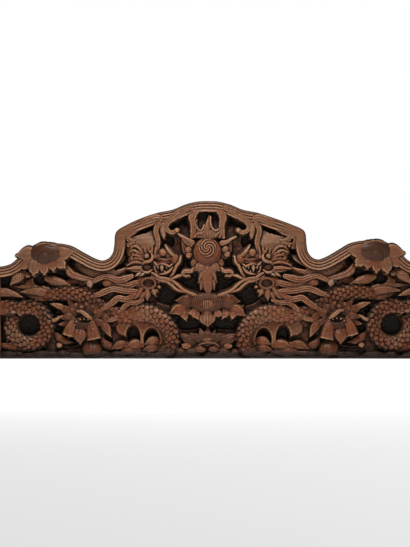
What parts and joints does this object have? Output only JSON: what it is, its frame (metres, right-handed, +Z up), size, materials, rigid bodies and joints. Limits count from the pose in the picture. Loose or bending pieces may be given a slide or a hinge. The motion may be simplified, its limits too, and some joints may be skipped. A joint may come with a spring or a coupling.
{
  "type": "carved dragon crest rail of a wooden frame",
  "caption": "Carved teak crest rail in deep relief: facing dragons, a flaming pearl and lotus flowers under a swept reeded border, on a straight lower rail.",
  "frame": {"origin": "on the underside, in the middle of the rail's length and depth", "axes": "+X along the rail to the right as seen from the carved side, +Y to the flat back, +Z up"},
  "size_m": [1.05, 0.0658, 0.393],
  "materials": {
    "teak": "satin oiled teak, dark brown stain in the recesses, worn tan on the high edges"
  },
  "bodies": {
    "root": {"carved_crest": "teak"}
  },
  "joints": []
}
